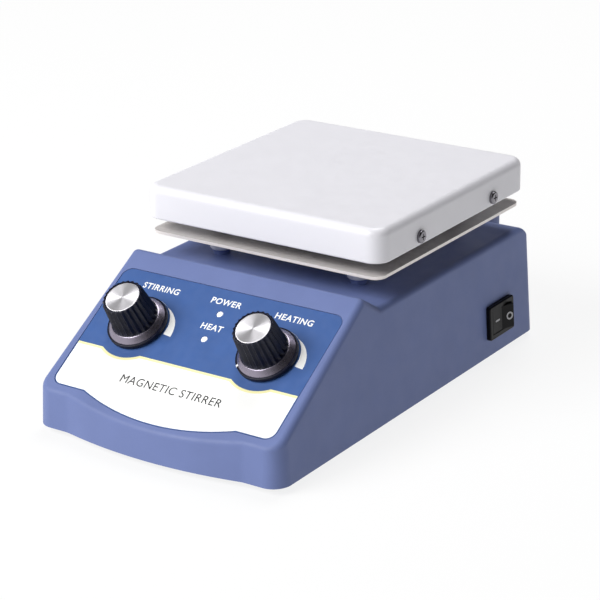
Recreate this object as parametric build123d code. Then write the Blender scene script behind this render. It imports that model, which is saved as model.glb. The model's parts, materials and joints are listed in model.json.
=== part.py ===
from build123d import *
import math
import os

# Hotplate magnetic stirrer, in millimetres. +X is to the user's right, +Y to the rear, +Z up.
# The housing is built about X = 0. Every piece is then moved by BOX_SHIFT, because the raised side of
# the rocker stands out on the right: the origin is at the middle of the overall box, on the surface
# that the feet stand on.

# ---- driving dimensions -------------------------------------------------------------------
BOX_SHIFT = -2.2
FOOT_HEIGHT = 3.0
BODY_HALF_WIDTH = 61.55
BODY_FRONT = -103.25
BODY_REAR = 101.05
CHIN_DEPTH = 4.9
CHIN_HALF_WIDTH = 44.0
DRAFT = 3.13
WALL = 2.5
FRONT_CORNER = 8.0
REAR_CORNER = 7.0
DECK_Z = 53.2
DECK_FRONT = -25.7
CREST_Y = -37.6
CREST_ROUND = 2.2
VALLEY_ROUND = 3.0
REAR_ROUND = 11.0
CORNER_ROUNDS = ((22.5, 9.5), (45.0, 7.5), (67.5, 5.0))
RIM_ROUND = 2.8
BODY_BOTTOM = FOOT_HEIGHT
WALL_RUN = 62.0

PANEL_SLOPE = 32.73
PANEL_POINT = (0.0, -77.85, 34.95)
OVERLAY_HALF_WIDTH = 55.3
OVERLAY_BOTTOM = -24.8
OVERLAY_TOP = 37.6
OVERLAY_SAG = 7.0
OVERLAY_ARC_HALF = 38.0
OVERLAY_CORNER = 4.5
RECESS_DEPTH = 0.5
OVERLAY_THICK = 0.4
RECESS_GAP = 0.25

KNOB_X = 32.6
KNOB_S = 11.6
KNOB_LIFT = 0.4
SKIRT_RADIUS = 13.2
SKIRT_RIM = 2.2
CONE_TOP = 4.4
CONE_RADIUS = 10.1
GRIP_BASE_RADIUS = 9.7
GRIP_TOP_RADIUS = 8.8
KNOB_HEIGHT = 18.3
CAP_RADIUS = 7.4
CAP_RECESS = 0.8
FLUTES = 24
FLUTE_RADIUS = 0.75
POINTER_WIDTH = 1.1
STIR_POINTER = 40.0
HEAT_POINTER = 135.0

POT_RADIUS = 8.2
POT_DEPTH = 9.0
POT_BUSH_RADIUS = 3.5
POT_SHAFT_RADIUS = 3.0
HUB_RADIUS = 4.5
RUNNING = 0.05

LED_X = 0.5
LED_S = {"power_led": 25.5, "heat_led": 12.3}
LED_RADIUS = 1.5

SWITCH_Y = 67.9
SWITCH_Z = 18.3
SWITCH_LENGTH = 21.0
SWITCH_HEIGHT = 15.4
SWITCH_BEZEL = 2.1
ROCKER_RADIUS = 8.1
ROCKER_HALF = 5.3
ROCKER_PIVOT = -1.0
ROCKER_TRAVEL = 22.0

PLATE_SIZE = 120.0
PLATE_Y = 32.5
PLATE_BOTTOM = 71.45
PLATE_TOP = 86.04
PLATE_CORNER = 7.5
PLATE_EDGE_ROUND = 3.3
PLATE_SKIN = 5.0
PLATE_WALL = 3.0
INSERT_SIZE = 98.0
HEATER_THICK = 1.6
CLAMP_SIZE = 108.0
CLAMP_BOTTOM = 73.3
CLAMP_TOP = 74.5
SHIELD_SIZE = 116.5
SHIELD_BOTTOM = 64.3
SHIELD_THICK = 1.3
SHIELD_CORNER = 5.0
POST_X = 35.3
POST_Y = 38.2
POST_RADIUS = 5.0
PAD_RADIUS = 3.6
PAD_HEIGHT = 2.2
STUD_RADIUS = 2.0
SIDE_SCREW_Y = 29.75
SIDE_SCREW_Z = 75.4
LEAD_X = 2.5
LEAD_Y = PLATE_Y + 45.0
LEAD_RADIUS = 1.6
GROMMET_RADIUS = 4.9

LUG_X = 33.3
LUG_Y = 100.15
LUG_RADIUS = 8.0
ROD_HOLE_RADIUS = 5.05
ROD_HOLE_DEPTH = 40.0

FOOT_X = 49.0
FOOT_FRONT_Y = -84.0
FOOT_REAR_Y = 87.5
FOOT_RADIUS = 7.0
FOOT_SCREW_RADIUS = 1.5
BOSS_RADIUS = 4.5

MOTOR_RADIUS = 19.0
MOTOR_BOTTOM = 11.0
MOTOR_TOP = 33.0
BRACKET_Z = MOTOR_TOP
BRACKET_THICK = 1.5
BRACKET_TOP = 44.5
SHAFT_RADIUS = 2.5
CARRIER_BOTTOM = 39.5
CARRIER_TOP = 48.0
MOTOR_SCREW_X = 10.0
SMALL_SCREW_RADIUS = 1.15
MAGNET_X = 17.0
MAGNET_RADIUS = 7.0
MAGNET_HEIGHT = 4.5

BOARD_Y = (-74.0, -18.0)
BOARD_HALF_WIDTH = 46.0
BOARD_Z = 12.0
BOARD_THICK = 1.6
BOARD_TOP = BOARD_Z + BOARD_THICK

INLET_X = -2.0
INLET_Z = 23.0
INLET_SCREW_X = 20.0
INLET_FLANGE = 2.2
FUSE_X = -36.0
FUSE_Z = 23.0
FUSE_SLEEVE_RADIUS = 6.0
FUSE_BORE_RADIUS = 4.6

CENTRED = (Align.CENTER, Align.CENTER, Align.MIN)


# ---- helpers ------------------------------------------------------------------------------
def block(x, y, z):
    """A box between two limits on each axis."""
    solid = Box(x[1] - x[0], y[1] - y[0], z[1] - z[0])
    return Pos((x[0] + x[1]) / 2, (y[0] + y[1]) / 2, (z[0] + z[1]) / 2) * solid


def rod(radius, base, length, direction=(0, 0, 1)):
    plane = Plane(origin=base, z_dir=direction)
    return plane.location * Cylinder(radius, length, align=CENTRED)


def tube(outer, inner, base, length, direction=(0, 0, 1)):
    return rod(outer, base, length, direction) - rod(inner, base, length, direction)


def plate(width, depth, corner, z0, z1, y=0.0):
    """A flat square-cornered plate with rounded vertical corners."""
    outline = RectangleRounded(width, depth, corner)
    return Pos(0, y, z0) * extrude(outline, z1 - z0)


def group(shapes):
    """Separate solids of one node."""
    return Compound(children=list(shapes))


def shifted(shape):
    """A finished node in the part's own frame, moved solid by solid."""
    solids = [Pos(BOX_SHIFT, 0, 0) * solid for solid in shape.solids()]
    return solids[0] if len(solids) == 1 else group(solids)


def joined(shapes):
    shapes = list(shapes)
    result = shapes[0]
    for shape in shapes[1:]:
        result = result + shape
    return result


def mirrored_pairs(x, ys):
    return [(side * x, y) for side in (-1, 1) for y in ys]


def pan_screw(radius, length, seat, direction):
    """A pan-head cross-recess screw: the head stands on the seat along direction."""
    head_radius = 1.85 * radius
    head_height = 1.0 * radius
    head = Cylinder(head_radius, head_height, align=CENTRED)
    head = fillet(head.edges().sort_by(Axis.Z)[-1], 0.45 * head_height)
    slot = Box(1.9 * radius, 0.35 * radius, head_height, align=CENTRED)
    cross = slot + Rot(0, 0, 90) * slot
    head = head - Pos(0, 0, 0.5 * head_height) * cross
    shank = Pos(0, 0, -length) * Cylinder(radius, length, align=CENTRED)
    plane = Plane(origin=seat, z_dir=direction)
    return plane.location * (head + shank)


def hex_nut(across_flats, hole, height):
    outline = RegularPolygon(across_flats / math.sqrt(3), 6)
    return extrude(outline, height) - Cylinder(hole, height, align=CENTRED)


SLOPE = math.radians(PANEL_SLOPE)
PANEL_NORMAL = (0.0, -math.sin(SLOPE), math.cos(SLOPE))
PANEL = Plane(origin=PANEL_POINT, x_dir=(1, 0, 0), z_dir=PANEL_NORMAL)


def on_panel(shape, x=0.0, s=0.0):
    """Place a shape that was made with Z as the outward normal of the control panel."""
    return PANEL.location * (Pos(x, s, 0) * shape)


DRAFT_TAN = math.tan(math.radians(DRAFT))
DRAFT_SIN = math.sin(math.radians(DRAFT))
DRAFT_COS = math.cos(math.radians(DRAFT))


def side_wall_plane(y, z):
    """Outward plane on the right wall, its X axis to the rear and its Y axis up the wall."""
    x = BODY_HALF_WIDTH - (z - BODY_BOTTOM) * DRAFT_TAN
    return Plane(origin=(x, y, z), x_dir=(0, 1, 0), z_dir=(DRAFT_COS, 0, DRAFT_SIN))


def rear_wall_plane(x, z):
    """Outward plane on the rear wall, its X axis to the left of the user and its Y axis up."""
    y = BODY_REAR - (z - BODY_BOTTOM) * DRAFT_TAN
    return Plane(origin=(x, y, z), x_dir=(-1, 0, 0), z_dir=(0, DRAFT_COS, DRAFT_SIN))


SWITCH = side_wall_plane(SWITCH_Y, SWITCH_Z)
INLET = rear_wall_plane(INLET_X, INLET_Z)
FUSE = rear_wall_plane(FUSE_X, FUSE_Z)


def panel_z(y, inset=0.0):
    """Height of the panel plane, or of its inner face, at a given Y."""
    drop = inset / math.cos(SLOPE)
    return PANEL_POINT[2] + (y - PANEL_POINT[1]) * math.tan(SLOPE) - drop


# ---- housing ------------------------------------------------------------------------------
def plan_outline(inset):
    """Footprint: straight sides, rounded corners, and a front that bulges in a shallow arc."""
    half = BODY_HALF_WIDTH - inset
    front = BODY_FRONT + inset
    rear = BODY_REAR - inset
    chin = CHIN_HALF_WIDTH - 0.3 * inset
    edges = [
        Line((-half, rear), (-half, front)),
        Line((-half, front), (-chin, front)),
        ThreePointArc((-chin, front), (0, front - CHIN_DEPTH), (chin, front)),
        Line((chin, front), (half, front)),
        Line((half, front), (half, rear)),
        Line((half, rear), (-half, rear)),
    ]
    face = make_face(edges)
    rears = [v for v in face.vertices() if v.Y > 0]
    face = fillet(rears, REAR_CORNER - inset)
    fronts = [v for v in face.vertices() if v.Y < 0 and abs(v.X) > half - 1]
    face = fillet(fronts, max(FRONT_CORNER - inset, 1.5))
    bends = [v for v in face.vertices() if abs(abs(v.X) - chin) < 0.1 and abs(v.Y - front) < 0.1]
    return fillet(bends, 12)


def side_profile(inset):
    """Side view: sloped panel up to the crest, back down to the deck, rounded rear edge."""
    deck = DECK_Z - inset
    back_slope = (panel_z(CREST_Y) - DECK_Z) / (DECK_FRONT - CREST_Y)
    start = BODY_FRONT - CHIN_DEPTH - 10
    rear = BODY_REAR + 10
    crest = (CREST_Y, panel_z(CREST_Y, inset))
    back_angle = math.atan(back_slope)
    back_drop = inset / math.cos(back_angle)
    foot_y = CREST_Y + (panel_z(CREST_Y) - back_drop - deck) / back_slope
    return [
        (start, BODY_BOTTOM),
        (start, panel_z(start, inset)),
        crest,
        (foot_y, deck),
        (rear, deck),
        (rear, BODY_BOTTOM),
    ]


def profile_prism(inset):
    points = side_profile(inset)
    half = BODY_HALF_WIDTH + 10
    wire = Polyline(*[(-half, y, z) for y, z in points], close=True)
    face = make_face(wire)
    crest = face.vertices().sort_by_distance((-half, points[2][0], points[2][1]))[0]
    face = fillet(crest, CREST_ROUND)
    valley = face.vertices().sort_by_distance((-half, points[3][0], points[3][1]))[0]
    face = fillet(valley, VALLEY_ROUND)
    return extrude(face, 2 * half, dir=(1, 0, 0))


def rear_rounding(inset):
    """Cutter for the large round that is tangent to the deck and to the drafted rear wall."""
    radius = REAR_ROUND - inset
    z = DECK_Z - REAR_ROUND
    y = BODY_REAR - (z - BODY_BOTTOM) * DRAFT_TAN - REAR_ROUND / DRAFT_COS
    half = BODY_HALF_WIDTH + 12
    corner = block((-half, half), (y, y + 40), (z + radius * DRAFT_SIN, z + 40))
    return corner - rod(radius, (-half, y, z), 2 * half, (1, 0, 0))


def corner_rounding(side, angle, radius, inset):
    """Cutter that rounds a rear corner's top, facing angle degrees from the rear towards a side."""
    turn = math.radians(angle)
    outward = (side * math.sin(turn), math.cos(turn), 0)
    z = DECK_Z - radius
    reach = REAR_CORNER - (z - BODY_BOTTOM) * DRAFT_TAN - radius / DRAFT_COS
    center = (side * (BODY_HALF_WIDTH - REAR_CORNER), BODY_REAR - REAR_CORNER, 0)
    plane = Plane(origin=center, x_dir=outward, z_dir=(0, 0, 1))
    kept = radius - inset
    corner = block((reach, reach + 40), (-40, 40), (z + kept * DRAFT_SIN, z + 40))
    return plane.location * (corner - rod(kept, (reach, -40, z), 80, (0, 1, 0)))


def square_form(inset):
    """The housing's outside before its edges are rounded."""
    bottom = Pos(0, 0, BODY_BOTTOM) * plan_outline(inset)
    top = Pos(0, 0, BODY_BOTTOM + WALL_RUN) * plan_outline(inset + WALL_RUN * DRAFT_TAN)
    walls = loft([bottom, top], ruled=True)
    return walls & profile_prism(inset)


def rim_edges(form):
    """The closed chain of edges where the walls meet the panel, crest and deck."""
    chosen = []
    for edge in form.edges():
        middle = edge @ 0.5
        ends = [edge @ 0.0, edge @ 1.0]
        if min(p.Z for p in ends) < BODY_BOTTOM + 3:
            continue
        across = abs(ends[0].X + ends[1].X) < 1 and abs(ends[0].X - ends[1].X) > 60
        if across and BODY_FRONT + 12 < middle.Y < BODY_REAR - 12:
            continue
        chosen.append(edge)
    return chosen


def rounded_form(inset):
    form = square_form(inset)
    form = fillet(rim_edges(form), RIM_ROUND - 0.6 * inset)
    form = form - rear_rounding(inset)
    for side in (-1, 1):
        for angle, radius in CORNER_ROUNDS:
            form = form - corner_rounding(side, angle, radius, inset)
    return form


def overlay_outline(grow):
    half = OVERLAY_HALF_WIDTH + grow
    bottom = OVERLAY_BOTTOM - grow
    top = OVERLAY_TOP + grow
    arc = OVERLAY_ARC_HALF
    edges = [
        Line((-half, top), (-half, bottom)),
        Line((-half, bottom), (-arc, bottom)),
        ThreePointArc((-arc, bottom), (0, bottom - OVERLAY_SAG), (arc, bottom)),
        Line((arc, bottom), (half, bottom)),
        Line((half, bottom), (half, top)),
        Line((half, top), (-half, top)),
    ]
    face = make_face(edges)
    corners = [v for v in face.vertices() if abs(v.X) > half - 1]
    face = fillet(corners, OVERLAY_CORNER + grow)
    bends = [v for v in face.vertices() if abs(abs(v.X) - arc) < 0.1 and abs(v.Y - bottom) < 0.1]
    return fillet(bends, 9)


def panel_recess():
    return on_panel(Pos(0, 0, -RECESS_DEPTH) * extrude(overlay_outline(RECESS_GAP), 5))


def panel_holes():
    holes = [on_panel(Cylinder(POT_BUSH_RADIUS + 0.15, 20), s * KNOB_X, KNOB_S) for s in (-1, 1)]
    holes += [on_panel(Cylinder(LED_RADIUS + 0.1, 20), LED_X, s) for s in LED_S.values()]
    return holes


def foot_places():
    return mirrored_pairs(FOOT_X, (FOOT_FRONT_Y, FOOT_REAR_Y))


def post_places():
    return mirrored_pairs(POST_X, (PLATE_Y - POST_Y, PLATE_Y + POST_Y))


def bracket_places():
    return mirrored_pairs(44.0, (PLATE_Y - 13, PLATE_Y + 13))


def lug_solid():
    height = DECK_Z - BODY_BOTTOM
    pillar = rod(LUG_RADIUS, (LUG_X, LUG_Y, BODY_BOTTOM), height)
    bridge = block(
        (LUG_X - LUG_RADIUS, LUG_X + LUG_RADIUS),
        (LUG_Y - 14, LUG_Y),
        (BODY_BOTTOM, DECK_Z),
    )
    return pillar + bridge


def upper_housing():
    outer = rounded_form(0.0)
    shell = outer - rounded_form(WALL)
    below = block((-90, 90), (-130, 130), (-5, BODY_BOTTOM))
    bosses = [rod(BOSS_RADIUS, (x, y, BODY_BOTTOM + 2.2), 60) & outer for x, y in foot_places()]
    ribs = [rod(3.6, (x, y, BRACKET_TOP), 20) & outer for x, y in bracket_places()]
    pads = [rod(PAD_RADIUS, (x, y, DECK_Z - 1), PAD_HEIGHT + 1) for x, y in post_places()]
    shell = joined([shell, lug_solid()] + bosses + ribs + pads) - below
    cuts = [panel_recess()] + panel_holes()
    cuts += [rod(FOOT_SCREW_RADIUS + 0.02, (x, y, 0), 22) for x, y in foot_places()]
    cuts += [rod(1.2, (x, y, BRACKET_TOP - 1), 7) for x, y in bracket_places()]
    cuts += [rod(STUD_RADIUS + 0.2, (x, y, 40), 30) for x, y in post_places()]
    cuts += [rod(GROMMET_RADIUS + 0.1, (0, LEAD_Y, 40), 30)]
    cuts += [rod(ROD_HOLE_RADIUS, (LUG_X, LUG_Y, DECK_Z - ROD_HOLE_DEPTH), 60)]
    cuts += [SWITCH.location * Box(19.2, 13.2, 20)]
    cuts += [INLET.location * Box(27.6, 20.0, 20)]
    cuts += [INLET.location * (Pos(x, 0, 0) * Cylinder(1.3, 20)) for x in inlet_screw_places()]
    cuts += [FUSE.location * Cylinder(FUSE_SLEEVE_RADIUS + 0.2, 20)]
    for cut in cuts:
        shell = shell - cut
    return shell


def base_plate():
    """Bottom cover inside the walls, with vents and short pillars for the control board."""
    thick = 2.0
    outline = Pos(0, 0, BODY_BOTTOM) * extrude(plan_outline(WALL + 0.35), thick)
    lug_room = rod(LUG_RADIUS + 0.4, (LUG_X, LUG_Y, 0), 20)
    lug_room += block(
        (LUG_X - LUG_RADIUS - 0.4, LUG_X + LUG_RADIUS + 0.4),
        (LUG_Y - 14.4, LUG_Y + 5),
        (0, 20),
    )
    cover = outline - lug_room
    for x, y in foot_places():
        cover = cover - rod(1.7, (x, y, 0), 20)
    for row in range(5):
        y = 8 + 12 * row
        slot = SlotOverall(44, 3.2)
        cover = cover - Pos(0, y, 0) * extrude(slot, 20)
    for x, y in board_places():
        pillar = rod(3.5, (x, y, BODY_BOTTOM + thick), BOARD_Z - BODY_BOTTOM - thick)
        cover = cover + pillar
        cover = cover - rod(1.2, (x, y, BODY_BOTTOM + thick), 20)
    return cover


def feet():
    """Rubber feet, each recessed for its screw head."""
    found = []
    for x, y in foot_places():
        foot = rod(FOOT_RADIUS, (x, y, 0), BODY_BOTTOM)
        foot = fillet(foot.edges().sort_by(Axis.Z)[0], 0.8)
        foot = foot - rod(3.4, (x, y, 0), 1.8) - rod(1.7, (x, y, 0), 10)
        found.append(foot)
    return group(found)


def foot_screws():
    return group(pan_screw(FOOT_SCREW_RADIUS, 14, (x, y, 1.8), (0, 0, -1)) for x, y in foot_places())


# ---- control panel ------------------------------------------------------------------------
def control_overlay():
    sheet = extrude(overlay_outline(0.0), OVERLAY_THICK)
    for side in (-1, 1):
        sheet = sheet - Pos(side * KNOB_X, KNOB_S, 0) * Cylinder(POT_BUSH_RADIUS + 0.3, 5)
    for s in LED_S.values():
        sheet = sheet - Pos(LED_X, s, 0) * Cylinder(LED_RADIUS + 0.1, 5)
    return on_panel(Pos(0, 0, -RECESS_DEPTH) * sheet)


def knob_surface(offset):
    """Revolved outline of the knob, moved outwards by offset."""
    points = [
        (0, KNOB_LIFT),
        (SKIRT_RADIUS + offset, KNOB_LIFT),
        (SKIRT_RADIUS + offset, SKIRT_RIM + offset),
        (CONE_RADIUS + offset, CONE_TOP + offset),
        (GRIP_BASE_RADIUS + offset, CONE_TOP + offset + 0.3),
        (GRIP_TOP_RADIUS + offset, KNOB_HEIGHT - 0.6),
        (GRIP_TOP_RADIUS + offset - 0.6, KNOB_HEIGHT),
        (0, KNOB_HEIGHT),
    ]
    face = make_face(Polyline(*[(r, 0, z) for r, z in points], close=True))
    return revolve(face, Axis.Z, 360)


def flutes():
    lean = math.degrees(math.atan((GRIP_BASE_RADIUS - GRIP_TOP_RADIUS) / (KNOB_HEIGHT - CONE_TOP)))
    cutter = Pos(GRIP_BASE_RADIUS + 0.35, 0, CONE_TOP + 0.9) * Rot(0, -lean, 0)
    cutter = cutter * Cylinder(FLUTE_RADIUS, KNOB_HEIGHT, align=CENTRED)
    return [Rot(0, 0, 360 * i / FLUTES) * cutter for i in range(FLUTES)]


def pointer_slab(angle):
    """Radial slab of the pointer line; angle is counter-clockwise from straight up the panel."""
    slab = Pos(0, SKIRT_RADIUS - 1.5, 3) * Box(POINTER_WIDTH, 4.0, 8)
    return Rot(0, 0, angle) * slab


def knob(angle):
    body = knob_surface(0.0)
    for flute in flutes():
        body = body - flute
    body = body - Pos(0, 0, KNOB_LIFT - 1) * Cylinder(8.0, 6.0, align=CENTRED)
    body = body - Cylinder(HUB_RADIUS, 15.0, align=CENTRED)
    body = body - Pos(0, 0, KNOB_HEIGHT - CAP_RECESS) * Cylinder(CAP_RADIUS + 0.05, 3, align=CENTRED)
    return body - pointer_slab(angle) + (knob_surface(-0.5) & pointer_slab(angle))


def knob_pointer(angle):
    return (knob_surface(0.0) - knob_surface(-0.5)) & pointer_slab(angle)


def knob_cap():
    disc = Cylinder(CAP_RADIUS, CAP_RECESS + 0.2, align=CENTRED)
    disc = chamfer(disc.edges().sort_by(Axis.Z)[-1], 0.2)
    return Pos(0, 0, KNOB_HEIGHT - CAP_RECESS) * disc


def knob_bush():
    bore = Cylinder(POT_SHAFT_RADIUS + 0.03, 9.6, align=CENTRED)
    return Pos(0, 0, 5.4) * (Cylinder(HUB_RADIUS, 9.6, align=CENTRED) - bore)


def pot_shaft():
    return Pos(0, 0, -9.5) * Cylinder(POT_SHAFT_RADIUS, 24.0, align=CENTRED)


def pot_body():
    can = Pos(0, 0, -WALL - POT_DEPTH) * Cylinder(POT_RADIUS, POT_DEPTH, align=CENTRED)
    bush = Pos(0, 0, -WALL) * Cylinder(POT_BUSH_RADIUS, WALL + 4.6, align=CENTRED)
    tabs = [Pos(x, -POT_RADIUS - 1, -WALL - 5) * Box(2.0, 7.0, 0.8) for x in (-5, 0, 5)]
    body = joined([can, bush] + tabs)
    return body - Pos(0, 0, -9.8) * Cylinder(POT_SHAFT_RADIUS + RUNNING, 30, align=CENTRED)


def pot_nut():
    return Pos(0, 0, 0.4) * hex_nut(10.0, POT_BUSH_RADIUS + 0.02, 2.0)


def pot_washer():
    z = -RECESS_DEPTH + OVERLAY_THICK
    ring = Cylinder(6.0, 0.4 - z, align=CENTRED)
    ring = ring - Cylinder(POT_BUSH_RADIUS + 0.2, 2, align=CENTRED)
    return Pos(0, 0, z) * ring


def led(s):
    """A 3 mm lamp with a domed lens and two leads."""
    lens = Pos(0, 0, -5.0) * Cylinder(LED_RADIUS, 5.1, align=CENTRED)
    lens = fillet(lens.edges().sort_by(Axis.Z)[-1], 0.9)
    collar = Pos(0, 0, -WALL - 1.0) * Cylinder(LED_RADIUS + 0.6, 1.0, align=CENTRED)
    leads = [Pos(x, 0, -12) * Cylinder(0.25, 8, align=CENTRED) for x in (-0.8, 0.8)]
    return on_panel(joined([lens, collar] + leads), LED_X, s)


# ---- power switch -------------------------------------------------------------------------
def switch_body():
    bezel = extrude(RectangleRounded(SWITCH_LENGTH, SWITCH_HEIGHT, 1.2), SWITCH_BEZEL)
    bezel = chamfer(bezel.edges().group_by(Axis.Z)[-1], 0.4)
    case = Pos(0, 0, -15) * Box(18.8, 12.8, 15, align=CENTRED)
    body = bezel + case
    body = body - Pos(0, 0, -5.5) * Box(16.7, 11.0, 10, align=CENTRED)
    body = body - Pos(0, 0, -11.0) * Box(14.0, 11.0, 10, align=CENTRED)
    pins = Pos(0, 0, ROCKER_PIVOT) * Rot(90, 0, 0) * Cylinder(1.25, 12.2)
    return SWITCH.location * (body - pins)


def rocker_profile():
    """One side lies flat, as pressed; the other rises by the rocker's travel."""
    reach = 12.0
    depth = 5.3
    rise = math.tan(math.radians(ROCKER_TRAVEL)) * reach
    flat = SWITCH_BEZEL - 0.3
    points = [(-reach, flat), (0, flat), (reach, flat + rise), (reach, -depth), (-reach, -depth)]
    wedge = make_face(Polyline(*[(x, ROCKER_HALF, z) for x, z in points], close=True))
    return extrude(wedge, 2 * ROCKER_HALF, dir=(0, -1, 0))


def switch_rocker():
    drum = Pos(0, 0, ROCKER_PIVOT) * Rot(90, 0, 0) * Cylinder(ROCKER_RADIUS, 2 * ROCKER_HALF)
    body = rocker_profile() & drum
    pins = Pos(0, 0, ROCKER_PIVOT) * Rot(90, 0, 0) * Cylinder(1.2, 12.0)
    return SWITCH.location * (body + pins)


def switch_terminals():
    tabs = [Pos(x, 0, -23) * Box(0.8, 4.8, 8.0, align=CENTRED) for x in (-6, 0, 6)]
    return group(SWITCH.location * tab for tab in tabs)


# ---- hot plate ----------------------------------------------------------------------------
def top_plate():
    """Cast plate with a deep skirt, a flat top, and four bosses for the studs."""
    body = plate(PLATE_SIZE, PLATE_SIZE, PLATE_CORNER, PLATE_BOTTOM, PLATE_TOP, PLATE_Y)
    body = fillet(body.edges().group_by(Axis.Z)[-1], PLATE_EDGE_ROUND)
    body = fillet(body.edges().group_by(Axis.Z)[0], 0.8)
    inner = PLATE_SIZE - 2 * PLATE_WALL
    ceiling = PLATE_TOP - PLATE_SKIN
    body = body - plate(inner, inner, PLATE_CORNER - PLATE_WALL, 0, ceiling, PLATE_Y)
    for x, y in post_places():
        body = body + rod(5.0, (x, y, CLAMP_TOP), ceiling - CLAMP_TOP + 1)
        body = body - rod(STUD_RADIUS + 0.03, (x, y, 70), 12)
    for x, y in side_screw_places():
        body = body - rod(1.65, (x, y, SIDE_SCREW_Z), 20, (-math.copysign(1, x), 0, 0))
    return body


def side_screw_places():
    return mirrored_pairs(PLATE_SIZE / 2 + 5, (PLATE_Y - SIDE_SCREW_Y, PLATE_Y + SIDE_SCREW_Y))


def plate_side_screws():
    screws = []
    for x, y in side_screw_places():
        side = math.copysign(1, x)
        seat = (side * PLATE_SIZE / 2, y, SIDE_SCREW_Z)
        screws.append(pan_screw(1.5, 6.0, seat, (side, 0, 0)))
    return group(screws)


def plate_insert(size, z0, z1, hole):
    layer = plate(size, size, 3.0, z0, z1, PLATE_Y)
    for x, y in post_places():
        layer = layer - rod(hole, (x, y, z0 - 1), z1 - z0 + 2)
    return layer


def heater_element():
    ceiling = PLATE_TOP - PLATE_SKIN
    return plate_insert(INSERT_SIZE, ceiling - HEATER_THICK, ceiling, 5.3)


def insulation_pad():
    top = PLATE_TOP - PLATE_SKIN - HEATER_THICK
    return plate_insert(INSERT_SIZE, CLAMP_TOP, top, 5.3) - lead_room()


def lead_room():
    return joined(rod(2.2, (x, LEAD_Y, 40), 50) for x in (-LEAD_X, LEAD_X))


def clamp_plate():
    """Steel plate under the insulation, with turned-up sides that take the side screws."""
    inner = PLATE_SIZE / 2 - PLATE_WALL - 0.1
    sheet = plate_insert(CLAMP_SIZE, CLAMP_BOTTOM, CLAMP_TOP, STUD_RADIUS + 0.15)
    run = (PLATE_Y - 40, PLATE_Y + 40)
    for side in (-1, 1):
        arm = block((CLAMP_SIZE / 2 - 1, inner), run, (CLAMP_BOTTOM, CLAMP_TOP))
        wall = block((inner - 1.0, inner), run, (CLAMP_BOTTOM, 80.0))
        flange = arm + wall
        sheet = sheet + (flange if side > 0 else mirror(flange, Plane.YZ))
    for x, y in side_screw_places():
        sheet = sheet - rod(1.52, (x, y, SIDE_SCREW_Z), 20, (-math.copysign(1, x), 0, 0))
    return sheet - lead_room()


def heat_shield():
    sheet = plate(SHIELD_SIZE, SHIELD_SIZE, SHIELD_CORNER, SHIELD_BOTTOM,
                  SHIELD_BOTTOM + SHIELD_THICK, PLATE_Y)
    for x, y in post_places():
        sheet = sheet - rod(STUD_RADIUS + 0.15, (x, y, 60), 20)
    return sheet - rod(6.0, (0, LEAD_Y, 60), 20)


def ceramic_standoffs():
    bottom = DECK_Z + PAD_HEIGHT
    posts = []
    for x, y in post_places():
        post = tube(POST_RADIUS, STUD_RADIUS + 0.2, (x, y, bottom), SHIELD_BOTTOM - bottom)
        posts.append(fillet(post.edges().group_by(Axis.Z)[0].sort_by(SortBy.RADIUS)[-1], 1.2))
    return group(posts)


def stud_spacers():
    z0 = SHIELD_BOTTOM + SHIELD_THICK
    height = CLAMP_BOTTOM - z0
    return group(tube(4.0, STUD_RADIUS + 0.15, (x, y, z0), height) for x, y in post_places())


def plate_studs():
    return group(rod(STUD_RADIUS, (x, y, 45.0), 36.0) for x, y in post_places())


def stud_nuts():
    top = DECK_Z - WALL
    nut = hex_nut(7.0, STUD_RADIUS + 0.03, 3.2)
    return group(Pos(x, y, top - 3.2) * nut for x, y in post_places())


def thermostat():
    """Overheat cut-out held against the underside of the clamp plate."""
    x, y = 20.0, PLATE_Y + 22
    disc = rod(7.0, (x, y, CLAMP_BOTTOM - 5.0), 5.0)
    tabs = [block((x + dx - 2, x + dx + 2), (y - 0.4, y + 0.4), (66.4, 68.6)) for dx in (-4, 4)]
    return joined([disc] + tabs)


def heater_leads():
    return group(rod(LEAD_RADIUS, (x, LEAD_Y, 42.0), 37.0) for x in (-LEAD_X, LEAD_X))


def lead_grommet():
    """Rubber grommet in the deck; the heater leads run through it."""
    lip = 1.5
    lip_radius = GROMMET_RADIUS + 1.7
    under = DECK_Z - WALL - lip
    body = rod(GROMMET_RADIUS, (0, LEAD_Y, under), WALL + 2 * lip)
    body += rod(lip_radius, (0, LEAD_Y, DECK_Z), lip)
    body += rod(lip_radius, (0, LEAD_Y, under), lip)
    for x in (-LEAD_X, LEAD_X):
        body = body - rod(LEAD_RADIUS + 0.05, (x, LEAD_Y, 40), 30)
    return body


# ---- stirring drive -----------------------------------------------------------------------
def motor_can():
    height = MOTOR_TOP - MOTOR_BOTTOM
    can = rod(MOTOR_RADIUS, (0, PLATE_Y, MOTOR_BOTTOM), height)
    can = fillet(can.edges().sort_by(Axis.Z)[-1], 1.5)
    can = can - rod(MOTOR_RADIUS - 1.2, (0, PLATE_Y, MOTOR_BOTTOM), height - 1.5)
    can = can - rod(3.5, (0, PLATE_Y, MOTOR_BOTTOM), 40)
    for x in (-MOTOR_SCREW_X, MOTOR_SCREW_X):
        can = can - rod(1.2, (x, PLATE_Y, MOTOR_TOP - 2), 5)
    return can


def motor_end_cap():
    cap = rod(MOTOR_RADIUS - 1.25, (0, PLATE_Y, MOTOR_BOTTOM), 2.0)
    return cap - rod(3.5, (0, PLATE_Y, 0), 40)


def motor_bushes():
    lower = tube(3.45, SHAFT_RADIUS + RUNNING, (0, PLATE_Y, MOTOR_BOTTOM), 3.5)
    upper = tube(3.45, SHAFT_RADIUS + RUNNING, (0, PLATE_Y, MOTOR_TOP - 3.5), 3.5)
    return group([lower, upper])


def motor_shaft():
    shaft = rod(SHAFT_RADIUS, (0, PLATE_Y, MOTOR_BOTTOM - 1), CARRIER_TOP - MOTOR_BOTTOM + 1)
    return chamfer(shaft.edges().group_by(Axis.Z)[-1], 0.3)


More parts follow.
